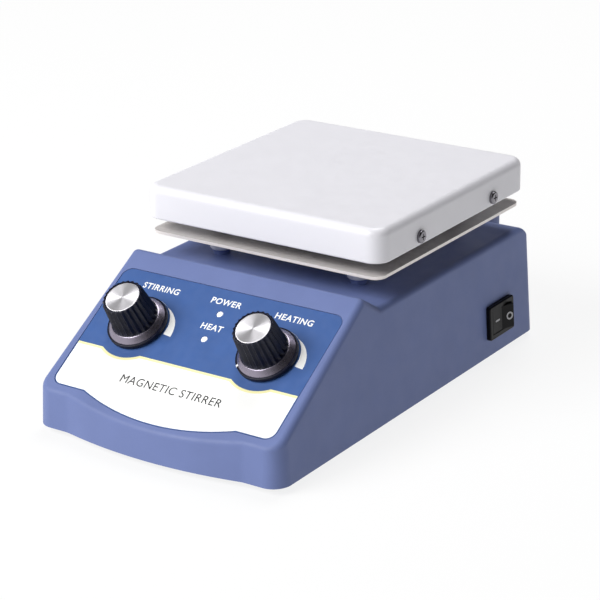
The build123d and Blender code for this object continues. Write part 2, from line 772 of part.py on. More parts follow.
def rotor_core():
    """Laminated core with slots, pressed on the shaft."""
    core = tube(13.0, SHAFT_RADIUS, (0, PLATE_Y, 16.0), 12.0)
    for i in range(8):
        turn = Pos(0, PLATE_Y, 0) * Rot(0, 0, 45 * i)
        core = core - turn * block((9, 14), (-1.0, 1.0), (10, 40))
    return core


def field_magnets():
    ring = tube(17.6, 14.2, (0, PLATE_Y, 15.0), 14.0)
    gap = block((-4, 4), (PLATE_Y - 20, PLATE_Y + 20), (0, 60))
    return group((ring - gap).solids())


def motor_bracket():
    """Steel U-bracket that hangs the motor from the deck."""
    y0, y1 = PLATE_Y - 19, PLATE_Y + 19
    t = BRACKET_THICK
    floor = block((-38, 38), (y0, y1), (BRACKET_Z, BRACKET_Z + t))
    parts = [floor]
    for side in (-1, 1):
        leg = block((36.5, 38), (y0, y1), (BRACKET_Z, BRACKET_TOP))
        ear = block((36.5, 49), (y0, y1), (BRACKET_TOP - t, BRACKET_TOP))
        bent = leg + ear
        parts.append(bent if side > 0 else mirror(bent, Plane.YZ))
    bracket = joined(parts) - rod(4.0, (0, PLATE_Y, 20), 20)
    for x in (-MOTOR_SCREW_X, MOTOR_SCREW_X):
        bracket = bracket - rod(1.7, (x, PLATE_Y, 20), 20)
    for x, y in bracket_places():
        bracket = bracket - rod(1.7, (x, y, 20), 40)
    return bracket


def motor_screws():
    seat = BRACKET_Z + BRACKET_THICK
    return group(
        pan_screw(SMALL_SCREW_RADIUS, 3.0, (x, PLATE_Y, seat), (0, 0, 1))
        for x in (-MOTOR_SCREW_X, MOTOR_SCREW_X)
    )


def bracket_screws():
    seat = BRACKET_TOP - BRACKET_THICK
    return group(
        pan_screw(SMALL_SCREW_RADIUS, 6.5, (x, y, seat), (0, 0, -1))
        for x, y in bracket_places()
    )


def magnet_carrier():
    """Aluminium bar on the motor shaft; a magnet sits in each end."""
    bar = block((-27, 27), (PLATE_Y - 8, PLATE_Y + 8), (42, CARRIER_TOP))
    bar = bar & rod(27, (0, PLATE_Y, 40), 10)
    bar = bar + rod(6.5, (0, PLATE_Y, CARRIER_BOTTOM), 5)
    bar = bar - rod(SHAFT_RADIUS + 0.02, (0, PLATE_Y, 30), 30)
    for x in (-MAGNET_X, MAGNET_X):
        bar = bar - rod(MAGNET_RADIUS + 0.05, (x, PLATE_Y, CARRIER_TOP - MAGNET_HEIGHT), 10)
    return bar


def drive_magnets():
    z = CARRIER_TOP - MAGNET_HEIGHT
    places = (-MAGNET_X, MAGNET_X)
    return group(rod(MAGNET_RADIUS, (x, PLATE_Y, z), MAGNET_HEIGHT) for x in places)


# ---- electronics --------------------------------------------------------------------------
def board_places():
    return mirrored_pairs(BOARD_HALF_WIDTH - 5, (BOARD_Y[0] + 5, BOARD_Y[1] - 5))


def control_board():
    board = block((-BOARD_HALF_WIDTH, BOARD_HALF_WIDTH), BOARD_Y, (BOARD_Z, BOARD_TOP))
    for x, y in board_places():
        board = board - rod(1.6, (x, y, 0), 30)
    return board


def board_screws():
    return group(
        pan_screw(SMALL_SCREW_RADIUS, 6.0, (x, y, BOARD_TOP), (0, 0, 1))
        for x, y in board_places()
    )


def heat_sink():
    """Finned aluminium block that cools the heater's triac."""
    z = BOARD_TOP
    sink = block((-12, 12), (-36, -34), (z, z + 18))
    for i in range(7):
        x = -12 + 4 * i * 0.93
        sink = sink + block((x, x + 1.2), (-34.5, -27), (z, z + 18))
    return sink


def triac():
    z = BOARD_TOP
    body = block((-5, 5), (-40.6, -36), (z + 5, z + 14))
    legs = [block((x - 0.4, x + 0.4), (-38.8, -38.0), (z, z + 5)) for x in (-2.5, 0, 2.5)]
    return joined([body] + legs)


def relay():
    z = BOARD_TOP
    body = block((22, 38), (-52, -33), (z, z + 12))
    return fillet(body.edges().filter_by(Axis.Z), 0.8)


def capacitors():
    z = BOARD_TOP
    return group([
        rod(4.0, (-22, -38, z), 12.5),
        rod(4.0, (-33, -38, z), 12.5),
        block((-40, -24), (-56, -49), (z, z + 9)),
    ])


def terminal_block():
    z = BOARD_TOP
    row_y = -20.8
    body = block((-16, 14), (row_y - 2, row_y + 2), (z, z + 8))
    for i in range(6):
        body = body - rod(1.6, (-13.5 + 5 * i, row_y, z + 3), 10)
    return body


# ---- rear wall ----------------------------------------------------------------------------
def inlet_socket():
    """Mains inlet for a three-pole appliance connector, held by two screws."""
    flange = extrude(RectangleRounded(49, 22.4, 3.5), INLET_FLANGE)
    flange = chamfer(flange.edges().group_by(Axis.Z)[-1], 0.4)
    case = Pos(0, 0, -18) * Box(27.2, 19.6, 18.5, align=CENTRED)
    body = flange + case
    corner = 4.0
    half_w, half_h = 12.2, 8.2
    cavity = Polyline(
        (-half_w, -half_h), (half_w, -half_h), (half_w, half_h - corner),
        (half_w - corner, half_h), (corner - half_w, half_h), (-half_w, half_h - corner),
        close=True,
    )
    body = body - Pos(0, 0, -16) * extrude(make_face(cavity), 30)
    for x in inlet_screw_places():
        body = body - Pos(x, 0, 0) * Cylinder(1.7, 30)
    for x, y in inlet_pin_places():
        body = body - Pos(x, y, -20) * Box(2.1, 4.1, 10, align=CENTRED)
    return INLET.location * body


def inlet_screw_places():
    return (-INLET_SCREW_X, INLET_SCREW_X)


def inlet_pin_places():
    return [(-7.0, -2.0), (0.0, 2.0), (7.0, -2.0)]


def inlet_pins():
    blades = [Pos(x, y, -24) * Box(2.0, 4.0, 22, align=CENTRED) for x, y in inlet_pin_places()]
    return group(INLET.location * blade for blade in blades)


def inlet_screws():
    places = [(x, 0, INLET_FLANGE) for x in inlet_screw_places()]
    screws = [pan_screw(1.25, 7.0, place, (0, 0, 1)) for place in places]
    return group(INLET.location * screw for screw in screws)


def fuse_holder():
    """Round panel fuse holder: flange outside, threaded sleeve and nut inside."""
    body = extrude(Circle(8.0), 2.0)
    body = chamfer(body.edges().group_by(Axis.Z)[-1], 0.4)
    body = body + Pos(0, 0, -26) * Cylinder(FUSE_SLEEVE_RADIUS, 26, align=CENTRED)
    body = body + Pos(0, 0, -WALL - 3) * extrude(RegularPolygon(9.0, 6), 3)
    body = body - Pos(0, 0, -24) * Cylinder(FUSE_BORE_RADIUS, 40, align=CENTRED)
    return FUSE.location * body


def fuse_cap():
    """Screwdriver-slot cap that carries the fuse; a part turn frees it."""
    radius = FUSE_BORE_RADIUS - 0.1
    head = Cylinder(radius, 2.6, align=CENTRED)
    head = chamfer(head.edges().group_by(Axis.Z)[-1], 0.4)
    stem = Pos(0, 0, -6) * Cylinder(radius, 6, align=CENTRED)
    cap = head + stem - Pos(0, 0, 1.6) * Box(7, 1.2, 3, align=CENTRED)
    return FUSE.location * (cap - Pos(0, 0, -6) * Cylinder(2.6, 3, align=CENTRED))


def fuse():
    return FUSE.location * (Pos(0, 0, -23) * Cylinder(2.55, 20, align=CENTRED))


def on_knob(shape, side):
    return on_panel(shape, side * KNOB_X, KNOB_S)


def both_knobs(shape):
    return group(on_knob(shape, side) for side in (-1, 1))


NODES = {
    "upper_housing": upper_housing,
    "base_plate": base_plate,
    "feet": feet,
    "foot_screws": foot_screws,
    "control_overlay": control_overlay,
    "stir_knob": lambda: on_knob(knob(STIR_POINTER), -1),
    "heat_knob": lambda: on_knob(knob(HEAT_POINTER), 1),
    "stir_knob_cap": lambda: on_knob(knob_cap(), -1),
    "heat_knob_cap": lambda: on_knob(knob_cap(), 1),
    "stir_knob_pointer": lambda: on_knob(knob_pointer(STIR_POINTER), -1),
    "heat_knob_pointer": lambda: on_knob(knob_pointer(HEAT_POINTER), 1),
    "stir_knob_bush": lambda: on_knob(knob_bush(), -1),
    "heat_knob_bush": lambda: on_knob(knob_bush(), 1),
    "stir_pot_shaft": lambda: on_knob(pot_shaft(), -1),
    "heat_pot_shaft": lambda: on_knob(pot_shaft(), 1),
    "pot_bodies": lambda: both_knobs(pot_body()),
    "pot_nuts": lambda: both_knobs(pot_nut()),
    "pot_washers": lambda: both_knobs(pot_washer()),
    "power_led": lambda: led(LED_S["power_led"]),
    "heat_led": lambda: led(LED_S["heat_led"]),
    "switch_body": switch_body,
    "switch_rocker": switch_rocker,
    "switch_terminals": switch_terminals,
    "top_plate": top_plate,
    "plate_side_screws": plate_side_screws,
    "heater_element": heater_element,
    "insulation_pad": insulation_pad,
    "clamp_plate": clamp_plate,
    "heat_shield": heat_shield,
    "ceramic_standoffs": ceramic_standoffs,
    "stud_spacers": stud_spacers,
    "plate_studs": plate_studs,
    "stud_nuts": stud_nuts,
    "thermostat": thermostat,
    "heater_leads": heater_leads,
    "lead_grommet": lead_grommet,
    "motor_can": motor_can,
    "motor_end_cap": motor_end_cap,
    "motor_bushes": motor_bushes,
    "motor_shaft": motor_shaft,
    "rotor_core": rotor_core,
    "field_magnets": field_magnets,
    "motor_bracket": motor_bracket,
    "motor_screws": motor_screws,
    "bracket_screws": bracket_screws,
    "magnet_carrier": magnet_carrier,
    "drive_magnets": drive_magnets,
    "control_board": control_board,
    "board_screws": board_screws,
    "heat_sink": heat_sink,
    "triac": triac,
    "relay": relay,
    "capacitors": capacitors,
    "terminal_block": terminal_block,
    "inlet_socket": inlet_socket,
    "inlet_pins": inlet_pins,
    "inlet_screws": inlet_screws,
    "fuse_holder": fuse_holder,
    "fuse_cap": fuse_cap,
    "fuse": fuse,
}

os.makedirs("parts", exist_ok=True)
for name, make in NODES.items():
    export_step(shifted(make()), f"parts/{name}.step")
    print("wrote", name)
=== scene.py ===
import bmesh
import bpy
import json
import math
from mathutils import Matrix, Vector
from mathutils.geometry import tessellate_polygon


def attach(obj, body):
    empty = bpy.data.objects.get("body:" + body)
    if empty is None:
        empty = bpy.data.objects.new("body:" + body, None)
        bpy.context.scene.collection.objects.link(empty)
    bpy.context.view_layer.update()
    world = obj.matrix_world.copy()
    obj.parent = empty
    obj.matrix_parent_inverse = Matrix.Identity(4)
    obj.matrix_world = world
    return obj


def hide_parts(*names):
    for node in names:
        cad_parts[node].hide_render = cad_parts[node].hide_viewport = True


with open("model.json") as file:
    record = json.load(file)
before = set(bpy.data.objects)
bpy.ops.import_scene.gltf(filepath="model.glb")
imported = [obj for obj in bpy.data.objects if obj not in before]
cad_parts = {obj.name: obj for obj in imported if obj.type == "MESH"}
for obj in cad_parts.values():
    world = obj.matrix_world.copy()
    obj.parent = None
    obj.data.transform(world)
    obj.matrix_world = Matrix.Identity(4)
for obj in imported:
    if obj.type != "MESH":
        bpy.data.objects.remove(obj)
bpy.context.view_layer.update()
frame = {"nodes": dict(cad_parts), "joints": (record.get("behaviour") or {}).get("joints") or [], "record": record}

MM = 0.001
NODES = frame["nodes"]
JOINTS = {joint["name"]: joint for joint in frame["joints"]}

# ---- camera and light ---------------------------------------------------------------------
CAMERA_TARGET = Vector((23.585, -35.23, 53.0)) * MM
CAMERA_AZIMUTH = 34.663
CAMERA_ELEVATION = 20.910
CAMERA_ROLL = -1.057
CAMERA_DISTANCE = 900.65 * MM
CAMERA_LENS = 132.41
SENSOR_WIDTH = 36.0
CLIP_START = 10 * MM
FILL_AZIMUTH = 37.0
FILL_STRENGTH = 0.25
BAND_LEFT = 0.7
BAND_RIGHT = 0.06
BAND_SIDES = (-0.6, 1.0)
BAND_HEIGHTS = (0.12, 0.4)
LIGHT_AIM = Vector((0.0, 0.0, 0.05))
KEY_PLACE = (-0.88, -1.53, 1.5)
KEY_SIZE = (1.5, 1.1)
KEY_POWER = 52.0
TOP_PLACE = (-0.15, 0.7, 1.6)
TOP_SIZE = (0.7, 0.9)
TOP_POWER = 15.0
FLOOR_HALF = 6.0
FLOOR_GREY = 0.14
FLOOR_GLOW = 0.85

# ---- control panel, in millimetres: x across, s up the slope, both from between the knobs ---
PANEL_DOWN = Vector(JOINTS["heat_knob_turn"]["axis"]).normalized()
PANEL_UP = Vector((0, -PANEL_DOWN.z, PANEL_DOWN.y))
STIR_PIVOT = Vector(JOINTS["stir_knob_turn"]["pos_m"])
HEAT_PIVOT = Vector(JOINTS["heat_knob_turn"]["pos_m"])
KNOB_X = (HEAT_PIVOT.x - STIR_PIVOT.x) / 2 / MM
OVERLAY_HALF = 55.3
OVERLAY_BOTTOM = -36.4
OVERLAY_ARC_HALF = 38.0
OVERLAY_SAG = 7.0
OVERLAY_CORNER = 4.5
SHEET_TOP = -0.1
PRINT_THICK = 0.03
BORDER = 0.35
LINE_S = -14.9
LINE_WIDTH = 1.15
SCALLOP_RADIUS = 17.8
SCALE_RADIUS = 13.8
SCALE_SHIFT = (3.8, -2.0)
SCALE_START = -17.0
SCALE_END = 97.0
WORD_HEIGHT = 4.1
WHITE_INK_LIFT = 0.55
DARK_INK_LIFT = 1.6
TITLE = "MAGNETIC STIRRER"
TITLE_S = -26.5
TITLE_HEIGHT = 5.4
WORDS = (
    ("POWER", 0.3, 19.7),
    ("HEAT", 0.7, 6.7),
    ("STIRRING", -32.8, 19.3),
    ("HEATING", 34.3, 19.3),
)

# ---- knobs, in millimetres: heights are above the panel --------------------------------------
SKIRT_RADIUS = 13.2
SKIRT_TOP = 2.2
CONE_TOP = 4.5
CONE_RADIUS = 10.3
GRIP_BASE = 9.9
GRIP_TOP = 8.9
KNOB_HEIGHT = 18.3
CAP_RADIUS = 7.45
CAP_HEIGHT = 18.0
FLUTES = 24
STEPS_PER_FLUTE = 10
KNOB_BASE = 0.45
FLUTE_DEPTH = 0.9
GRIP_STEPS = 8
SOCKET_RADIUS = 8.0
SOCKET_TOP = 3.4
STIR_POINTER = 40.0
HEAT_POINTER = 135.0
POINTER_HALF = 0.5
POINTER_LIFT = 0.05
POINTER_DEPTH = 0.3

# ---- rocker switch marks, in millimetres: x to the rear, y up the rocker ------------------------
ROCKER_PIVOT_DEPTH = 1.0
ROCKER_FACE = 1.8
ROCKER_RISE = 22.0
MARK_THICK = 0.05
BAR_ENDS = (-5.4, -2.0)
BAR_HALF = 0.38
RING_X = 4.4
RING_RADII = (1.8, 1.1)
RING_STEPS = 47
RING_END = 352.5


# ---- node material helpers --------------------------------------------------------------------
def srgb(red, green, blue):
    """Linear colour with alpha, from 0-255 screen values."""
    def linear(value):
        value = value / 255
        return value / 12.92 if value <= 0.04045 else ((value + 0.055) / 1.055) ** 2.4
    return (linear(red), linear(green), linear(blue), 1.0)


class Finish:
    """A node material around one Principled shader."""

    def __init__(self, name, color, roughness, metallic=0.0, **sockets):
        self.material = bpy.data.materials.new(name)
        self.material.use_nodes = True
        self.nodes = self.material.node_tree.nodes
        self.links = self.material.node_tree.links
        self.shader = self.nodes["Principled BSDF"]
        self.shader.inputs["Base Color"].default_value = color
        self.shader.inputs["Roughness"].default_value = roughness
        self.shader.inputs["Metallic"].default_value = metallic
        for socket, value in sockets.items():
            self.shader.inputs[socket.replace("_", " ")].default_value = value
        self.place = self.nodes.new("ShaderNodeTexCoord").outputs["Object"]
        self.normal = None

    def stretched(self, scale):
        """Object coordinates scaled by axis, for grain that runs one way."""
        node = self.nodes.new("ShaderNodeMapping")
        node.inputs["Scale"].default_value = scale
        self.links.new(self.place, node.inputs["Vector"])
        return node.outputs["Vector"]

    def noise(self, size_mm, detail=3.0, place=None):
        node = self.nodes.new("ShaderNodeTexNoise")
        node.inputs["Scale"].default_value = 1.0 / (size_mm * MM)
        node.inputs["Detail"].default_value = detail
        self.links.new(place or self.place, node.inputs["Vector"])
        return node.outputs["Fac"]

    def cells(self, size_mm):
        node = self.nodes.new("ShaderNodeTexVoronoi")
        node.inputs["Scale"].default_value = 1.0 / (size_mm * MM)
        self.links.new(self.place, node.inputs["Vector"])
        return node.outputs["Distance"]

    def spread(self, value, low, high, at=(0.3, 0.7)):
        """Map a texture value onto a range."""
        node = self.nodes.new("ShaderNodeMapRange")
        node.inputs["From Min"].default_value = at[0]
        node.inputs["From Max"].default_value = at[1]
        node.inputs["To Min"].default_value = low
        node.inputs["To Max"].default_value = high
        self.links.new(value, node.inputs["Value"])
        return node.outputs["Result"]

    def mix(self, factor, first, second):
        node = self.nodes.new("ShaderNodeMix")
        node.data_type = "RGBA"
        self.links.new(factor, node.inputs["Factor"])
        for socket, color in (("A", first), ("B", second)):
            target = [i for i in node.inputs if i.name == socket and i.type == "RGBA"][0]
            if isinstance(color, tuple):
                target.default_value = color
            else:
                self.links.new(color, target)
        return [o for o in node.outputs if o.type == "RGBA"][0]

    def color(self, output):
        self.links.new(output, self.shader.inputs["Base Color"])
        return self

    def mottle(self, size_mm, first, second, detail=3.0, place=None):
        factor = self.spread(self.noise(size_mm, detail, place), 0.0, 1.0)
        return self.color(self.mix(factor, first, second))

    def roughness(self, size_mm, low, high, place=None):
        value = self.spread(self.noise(size_mm, 2.0, place), low, high)
        self.links.new(value, self.shader.inputs["Roughness"])
        return self

    def relief(self, height, depth_mm, strength=1.0):
        node = self.nodes.new("ShaderNodeBump")
        node.inputs["Strength"].default_value = strength
        node.inputs["Distance"].default_value = depth_mm * MM
        self.links.new(height, node.inputs["Height"])
        if self.normal is not None:
            self.links.new(self.normal, node.inputs["Normal"])
        self.normal = node.outputs["Normal"]
        self.links.new(self.normal, self.shader.inputs["Normal"])
        return self

    def grain(self, size_mm, depth_mm, detail=2.0, place=None):
        return self.relief(self.noise(size_mm, detail, place), depth_mm)


def tint(color, factor):
    return tuple(min(1.0, channel * factor) for channel in color[:3]) + (1.0,)


# ---- materials ----------------------------------------------------------------------------------
def housing_paint():
    blue = srgb(107, 121, 169)
    paint = Finish("housing_paint", blue, 0.5, Specular_IOR_Level=0.3)
    paint.mottle(14.0, tint(blue, 0.97), tint(blue, 1.03))
    paint.roughness(6.0, 0.46, 0.55)
    return paint.grain(0.9, 0.035).grain(0.25, 0.01)


def overlay_sheet():
    blue = srgb(64, 96, 155)
    sheet = Finish("overlay_sheet", blue, 0.42)
    sheet.mottle(9.0, tint(blue, 0.96), tint(blue, 1.05))
    return sheet.roughness(3.0, 0.33, 0.43).grain(0.35, 0.012)


def overlay_white():
    white = srgb(252, 252, 250)
    ink = Finish("overlay_white", white, 0.4)
    ink.mottle(8.0, tint(white, 0.985), white)
    return ink.roughness(3.0, 0.35, 0.45).grain(0.35, 0.012)


def overlay_yellow():
    yellow = srgb(250, 244, 182)
    ink = Finish("overlay_yellow", yellow, 0.4)
    ink.mottle(5.0, tint(yellow, 0.97), yellow)
    return ink.roughness(3.0, 0.35, 0.45).grain(0.35, 0.012)


def ink_dark():
    dark = srgb(26, 26, 30)
    ink = Finish("ink_dark", dark, 0.4)
    ink.mottle(3.0, dark, tint(dark, 1.5))
    return ink.grain(0.35, 0.01)


def plate_enamel():
    white = srgb(231, 230, 236)
    enamel = Finish("plate_enamel", white, 0.42, Coat_Weight=0.15, Coat_Roughness=0.25)
    enamel.mottle(18.0, tint(white, 0.985), white, detail=4.0)
    enamel.roughness(5.0, 0.36, 0.5)
    return enamel.grain(1.1, 0.03).grain(0.3, 0.012)


def knob_black():
    black = srgb(9, 11, 30)
    plastic = Finish("knob_black", black, 0.4, Specular_IOR_Level=0.28)
    plastic.mottle(4.0, black, tint(black, 1.6))
    return plastic.roughness(1.5, 0.3, 0.44).grain(0.3, 0.01)


def knob_grey():
    grey = srgb(150, 143, 158)
    satin = Finish("knob_grey", grey, 0.3, metallic=0.9)
    satin.mottle(3.0, tint(grey, 0.97), tint(grey, 1.03))
    return satin.roughness(1.5, 0.26, 0.32).grain(0.2, 0.001)


def cap_metal():
    """Turned disc: fine rings around the local Z axis, with the highlight fanned out by them."""
    silver = srgb(236, 234, 238)
    metal = Finish("cap_metal", silver, 0.42, 0.8, Anisotropic=0.75)
    tangent = metal.nodes.new("ShaderNodeTangent")
    tangent.direction_type = "RADIAL"
    tangent.axis = "Z"
    metal.links.new(tangent.outputs["Tangent"], metal.shader.inputs["Tangent"])
    rings = metal.nodes.new("ShaderNodeTexWave")
    rings.wave_type = "RINGS"
    rings.rings_direction = "Z"
    rings.inputs["Scale"].default_value = 620.0
    rings.inputs["Distortion"].default_value = 0.6
    metal.links.new(metal.place, rings.inputs["Vector"])
    metal.mottle(1.2, tint(silver, 0.96), silver)
    return metal.relief(rings.outputs["Fac"], 0.004)


def switch_plastic():
    black = srgb(7, 7, 10)
    plastic = Finish("switch_plastic", black, 0.38, Specular_IOR_Level=0.15)
    plastic.mottle(3.0, black, tint(black, 1.5))
    return plastic.roughness(1.5, 0.3, 0.42).grain(0.25, 0.012)


def base_plastic():
    black = srgb(30, 30, 33)
    plastic = Finish("base_plastic", black, 0.55)
    plastic.mottle(10.0, black, tint(black, 1.3))
    return plastic.roughness(3.0, 0.5, 0.62).grain(0.5, 0.03)


def rubber():
    black = srgb(24, 24, 25)
    soft = Finish("rubber", black, 0.78)
    soft.mottle(2.5, black, tint(black, 1.5))
    return soft.roughness(2.0, 0.7, 0.85).grain(0.4, 0.03)


def metal(name, color, low, high, grain_mm, depth_mm, stretch=None, **sockets):
    """Bare metal with mottled colour and roughness; stretch makes the grain run one way."""
    steel = Finish(name, color, low, 1.0, **sockets)
    place = steel.stretched(stretch) if stretch else None
    steel.mottle(grain_mm * 4, tint(color, 0.9), tint(color, 1.06), place=place)
    steel.roughness(grain_mm * 3, low, high, place)
    return steel.grain(grain_mm, depth_mm, place=place)


def plain(name, color, low, high, grain_mm, depth_mm, spread=0.08, **sockets):
    """Non-metal with mottled colour, uneven roughness and a fine surface."""
    body = Finish(name, color, low, 0.0, **sockets)
    body.mottle(grain_mm * 12, tint(color, 1 - spread), tint(color, 1 + spread))
    body.roughness(grain_mm * 5, low, high)
    return body.grain(grain_mm, depth_mm)


def shield_steel():
    """Bright drawn sheet, its grain running from side to side."""
    grey = srgb(240, 234, 231)
    sheet = Finish("shield_steel", grey, 0.4, metallic=0.25)
    place = sheet.stretched((0.06, 1.0, 1.0))
    sheet.mottle(2.0, tint(grey, 0.92), tint(grey, 1.04), place=place)
    sheet.roughness(1.5, 0.32, 0.46, place)
    return sheet.grain(0.4, 0.005, place=place)


def fuse_glass():
    glass = plain("fuse_glass", srgb(225, 235, 235), 0.04, 0.1, 0.8, 0.002, 0.02)
    glass.shader.inputs["Transmission Weight"].default_value = 0.9
    return glass


def board_mask():
    """Solder mask with the faint pattern of copper tracks under it."""
    green = srgb(20, 92, 48)
    board = Finish("board_mask", green, 0.3, Coat_Weight=0.4, Coat_Roughness=0.15)
    tracks = board.spread(board.cells(3.5), 0.0, 1.0, (0.25, 0.32))
    board.color(board.mix(tracks, tint(green, 1.35), green))
    return board.relief(tracks, 0.03).grain(0.4, 0.004)


def slot_materials():
    """One finish for each material slot of the record."""
    steel = srgb(186, 188, 192)
    return {
        "blue_housing": housing_paint(),
        "black_plastic": base_plastic(),
        "rubber": rubber(),
        "screw_steel": metal("screw_steel", srgb(128, 126, 132), 0.16, 0.28, 0.5, 0.004),
        "overlay_print": overlay_sheet(),
        "knob_black": knob_black(),
        "turned_aluminium": cap_metal(),
        "white_mark": plain("white_mark", srgb(245, 245, 246), 0.38, 0.46, 0.3, 0.008, 0.02),
        "brass": metal("brass", srgb(206, 172, 100), 0.2, 0.34, 0.4, 0.006),
        "shaft_steel": metal("shaft_steel", steel, 0.18, 0.3, 0.3, 0.004, (1, 1, 8)),
        "zinc_plate": metal("zinc_plate", srgb(178, 181, 188), 0.26, 0.44, 0.6, 0.008),
        "lamp_lens": plain("lamp_lens", srgb(246, 248, 252), 0.3, 0.38, 0.4, 0.004, 0.02,
                           Emission_Strength=0.35),
        "switch_black": switch_plastic(),
        "white_enamel": plate_enamel(),
        "mica": plain("mica", srgb(150, 130, 100), 0.35, 0.55, 0.8, 0.02, 0.2),
        "ceramic_fibre": plain("ceramic_fibre", srgb(222, 220, 212), 0.85, 0.95, 0.5, 0.15, 0.06),
        "stainless": shield_steel(),
        "ceramic_white": plain("ceramic_white", srgb(238, 236, 236), 0.4, 0.55, 0.5, 0.015, 0.03),
        "lead_sleeve": plain("lead_sleeve", srgb(216, 213, 200), 0.8, 0.9, 0.3, 0.08, 0.06),
        "core_iron": metal("core_iron", srgb(110, 110, 114), 0.4, 0.6, 0.3, 0.02, (0.2, 0.2, 6)),
        "magnet_grey": plain("magnet_grey", srgb(62, 62, 64), 0.5, 0.65, 0.3, 0.012, 0.15),
        "carrier_aluminium": metal("carrier_aluminium", srgb(198, 200, 203), 0.26, 0.4,
                                   0.4, 0.008, (0.15, 1, 1)),
        "magnet_nickel": metal("magnet_nickel", srgb(205, 204, 200), 0.12, 0.22, 0.6, 0.003),
        "board_green": board_mask(),
        "sink_aluminium": metal("sink_aluminium", srgb(90, 92, 96), 0.35, 0.5, 0.4, 0.008),
        "part_black": plain("part_black", srgb(28, 28, 30), 0.45, 0.6, 0.25, 0.012, 0.3),
        "relay_blue": plain("relay_blue", srgb(34, 84, 170), 0.35, 0.48, 0.3, 0.01, 0.08),
        "capacitor_sleeve": plain("capacitor_sleeve", srgb(44, 58, 92), 0.25, 0.4, 0.4, 0.01),
        "terminal_green": plain("terminal_green", srgb(44, 150, 88), 0.4, 0.5, 0.3, 0.012),
        "fuse_glass": fuse_glass(),
    }


SLOTS = slot_materials()
PRINT_WHITE = overlay_white()
PRINT_YELLOW = overlay_yellow()
PRINT_DARK = ink_dark()
SWITCH_INK = plain("switch_ink", srgb(176, 176, 180), 0.4, 0.5, 0.3, 0.008, 0.03)
SKIRT_GREY = knob_grey()


def paint_frame():
    for part in frame["record"]["subparts"]:
        mesh_object = NODES[part["node"]]
        finish = SLOTS[part["material_slot"]].material
        for slot in mesh_object.material_slots:
            slot.material = finish


# ---- mesh helpers -------------------------------------------------------------------------------
def panel_matrix(pivot):
    """Local X across the panel, Y up it and Z out of it, from a point on it."""
    across = Vector((1, 0, 0))
    axes = Matrix((across, PANEL_UP, -PANEL_DOWN)).transposed()
    return Matrix.Translation(pivot) @ axes.to_4x4()


PANEL = panel_matrix((STIR_PIVOT + HEAT_PIVOT) / 2)


def add_mesh(name, bm, finishes, matrix, body, smooth_angle=None):
    """Link a bmesh that was built in millimetres as a piece riding on a body."""
    bmesh.ops.recalc_face_normals(bm, faces=bm.faces)
    mesh = bpy.data.meshes.new(name)
    bmesh.ops.scale(bm, vec=(MM, MM, MM), verts=bm.verts)
    bm.to_mesh(mesh)
    bm.free()
    piece = bpy.data.objects.new(name, mesh)
    bpy.context.scene.collection.objects.link(piece)
    piece.matrix_world = matrix
    for finish in finishes:
        mesh.materials.append(finish.material)
    if smooth_angle is not None:
        mesh.shade_smooth()
        mesh.set_sharp_from_angle(angle=math.radians(smooth_angle))
    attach(piece, body)
    return piece


def flat_piece(name, loops, low, high, finish, matrix, body):
    """A thin printed shape: outlines in the matrix's XY plane, holes after the outside."""
    bm = bmesh.new()
    rings = [[bm.verts.new((x, y, high)) for x, y in loop] for loop in loops]
    flat = [Vector((x, y, 0)) for loop in loops for x, y in loop]
    tops = [vert for ring in rings for vert in ring]
    outlines = [[Vector((x, y, 0)) for x, y in loop] for loop in loops]
    for triangle in tessellate_polygon(outlines):
        bm.faces.new([tops[i] for i in triangle])
    under = [bm.verts.new((point.x, point.y, low)) for point in flat]
    for triangle in tessellate_polygon(outlines):
        bm.faces.new([under[i] for i in reversed(triangle)])
    start = 0
    for ring in rings:
        count = len(ring)
        for i in range(count):
            a, b = start + i, start + (i + 1) % count
            bm.faces.new((tops[a], tops[b], under[b], under[a]))
        start += count
    return add_mesh(name, bm, [finish], matrix, body)


def arc(center, radius, start, end, steps):
    """Points on a circle; angles in degrees, counter-clockwise from +X."""
    points = []
    for i in range(steps + 1):
        angle = math.radians(start + (end - start) * i / steps)
        points.append((center[0] + radius * math.cos(angle), center[1] + radius * math.sin(angle)))
    return points


# ---- printed overlay ----------------------------------------------------------------------------
def arc_through(half, low, sag, steps=40):
    """The overlay's bottom: an arc from -half to +half that drops by sag in the middle."""
    radius = (half * half + sag * sag) / (2 * sag)
    center = (0.0, low - sag + radius)
    reach = math.degrees(math.asin(half / radius))
    return arc(center, radius, -90 - reach, -90 + reach, steps)


def scalloped_line(offset):
    """The edge between blue and white, left to right; offset moves it down."""
    s = LINE_S - offset
    radius = SCALLOP_RADIUS + offset
    dip = math.degrees(math.acos(-s / radius))
    edge = [(-OVERLAY_HALF + BORDER, s)]
    for x in (-KNOB_X, KNOB_X):
        edge += arc((x, 0.0), radius, -90 - dip, -90 + dip, 24)
    edge.append((OVERLAY_HALF - BORDER, s))
    return edge


def lower_border():
    """The white area's lower outline, right to left, a border's width inside the sheet."""
    half = OVERLAY_HALF - BORDER
    low = OVERLAY_BOTTOM + BORDER
    corner = OVERLAY_CORNER - BORDER
    outline = arc((half - corner, low + corner), corner, 0, -90, 8)
    outline += list(reversed(arc_through(OVERLAY_ARC_HALF, low, OVERLAY_SAG)))
    outline += arc((corner - half, low + corner), corner, -90, -180, 8)
    return outline


def print_piece(name, loops, finish):
    high = SHEET_TOP + PRINT_THICK
    flat_piece(name, loops, SHEET_TOP, high, finish, PANEL, "casing")


